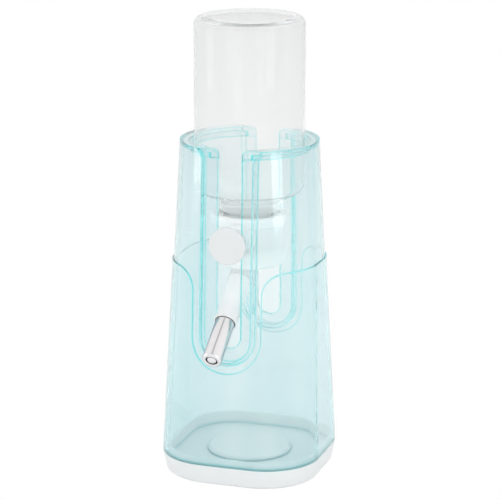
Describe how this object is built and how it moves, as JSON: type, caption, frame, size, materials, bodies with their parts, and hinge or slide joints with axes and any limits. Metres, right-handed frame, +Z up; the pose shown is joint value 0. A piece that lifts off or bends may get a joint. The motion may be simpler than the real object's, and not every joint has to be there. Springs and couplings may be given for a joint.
{
  "type": "rabbit water bottle",
  "caption": "Free-standing gravity water bottle for rabbits: an inverted clear bottle in a slotted tapering stand, with a sloping ball-tipped metal spout.",
  "frame": {"origin": "centre of the underside of the base pad, on the floor, under the bottle's axis", "axes": "+Z up along the bottle's axis, -Y towards the front, where the spout points, X to the side"},
  "size_m": [0.0992, 0.1231, 0.28],
  "materials": {
    "aqua_plastic": "clear, lightly tinted, glossy",
    "clear_plastic": "clear, glossy",
    "white_plastic": "smooth satin",
    "stainless": "polished",
    "silicone": "matt, translucent"
  },
  "bodies": {
    "stand": {"housing_shell": "aqua_plastic", "base_tray": "white_plastic", "base_pad": "silicone"},
    "cap_unit": {"cap": "white_plastic", "spout_sleeve": "white_plastic", "tube_seal": "silicone", "spout_tube": "stainless", "ball_seat": "silicone"},
    "gasket": {"cap_gasket": "silicone"},
    "bottle": {"bottle": "clear_plastic"},
    "washer": {"knob_washer": "silicone"},
    "knob": {"height_knob": "white_plastic"},
    "outer_ball": {"spout_ball": "stainless"},
    "inner_ball": {"inner_ball": "stainless"}
  },
  "joints": [
    {"name": "height_slide", "type": "slide", "parent": "stand", "child": "cap_unit", "axis": [0, 0, 1], "range_m": [-0.008, 0.12]},
    {"name": "bottle_turn", "type": "hinge", "parent": "cap_unit", "child": "gasket", "pos_m": [0, 0, 0.142], "axis": [0, 0, 1], "range_deg": [0, 540]},
    {"name": "bottle_rise", "type": "slide", "parent": "gasket", "child": "bottle", "axis": [0, 0, 1], "range_m": [0, 0.0063]},
    {"name": "knob_back_off", "type": "slide", "parent": "cap_unit", "child": "washer", "axis": [0, -1, 0], "range_m": [0, 0.00225]},
    {"name": "knob_turn", "type": "hinge", "parent": "washer", "child": "knob", "pos_m": [0, -0.0434, 0.1488], "axis": [0, -1, 0], "range_deg": [0, 540]},
    {"name": "outer_ball_push", "type": "slide", "parent": "cap_unit", "child": "outer_ball", "axis": [0, 0.829, 0.5592], "range_m": [0, 0.003]},
    {"name": "inner_ball_lift", "type": "slide", "parent": "cap_unit", "child": "inner_ball", "axis": [0, 0.829, 0.5592], "range_m": [0, 0.003]}
  ],
  "couplings": [
    {"joint": "bottle_turn", "follows": "bottle_rise", "rad_per_m": 1496},
    {"joint": "knob_turn", "follows": "knob_back_off", "rad_per_m": 4188.7}
  ]
}
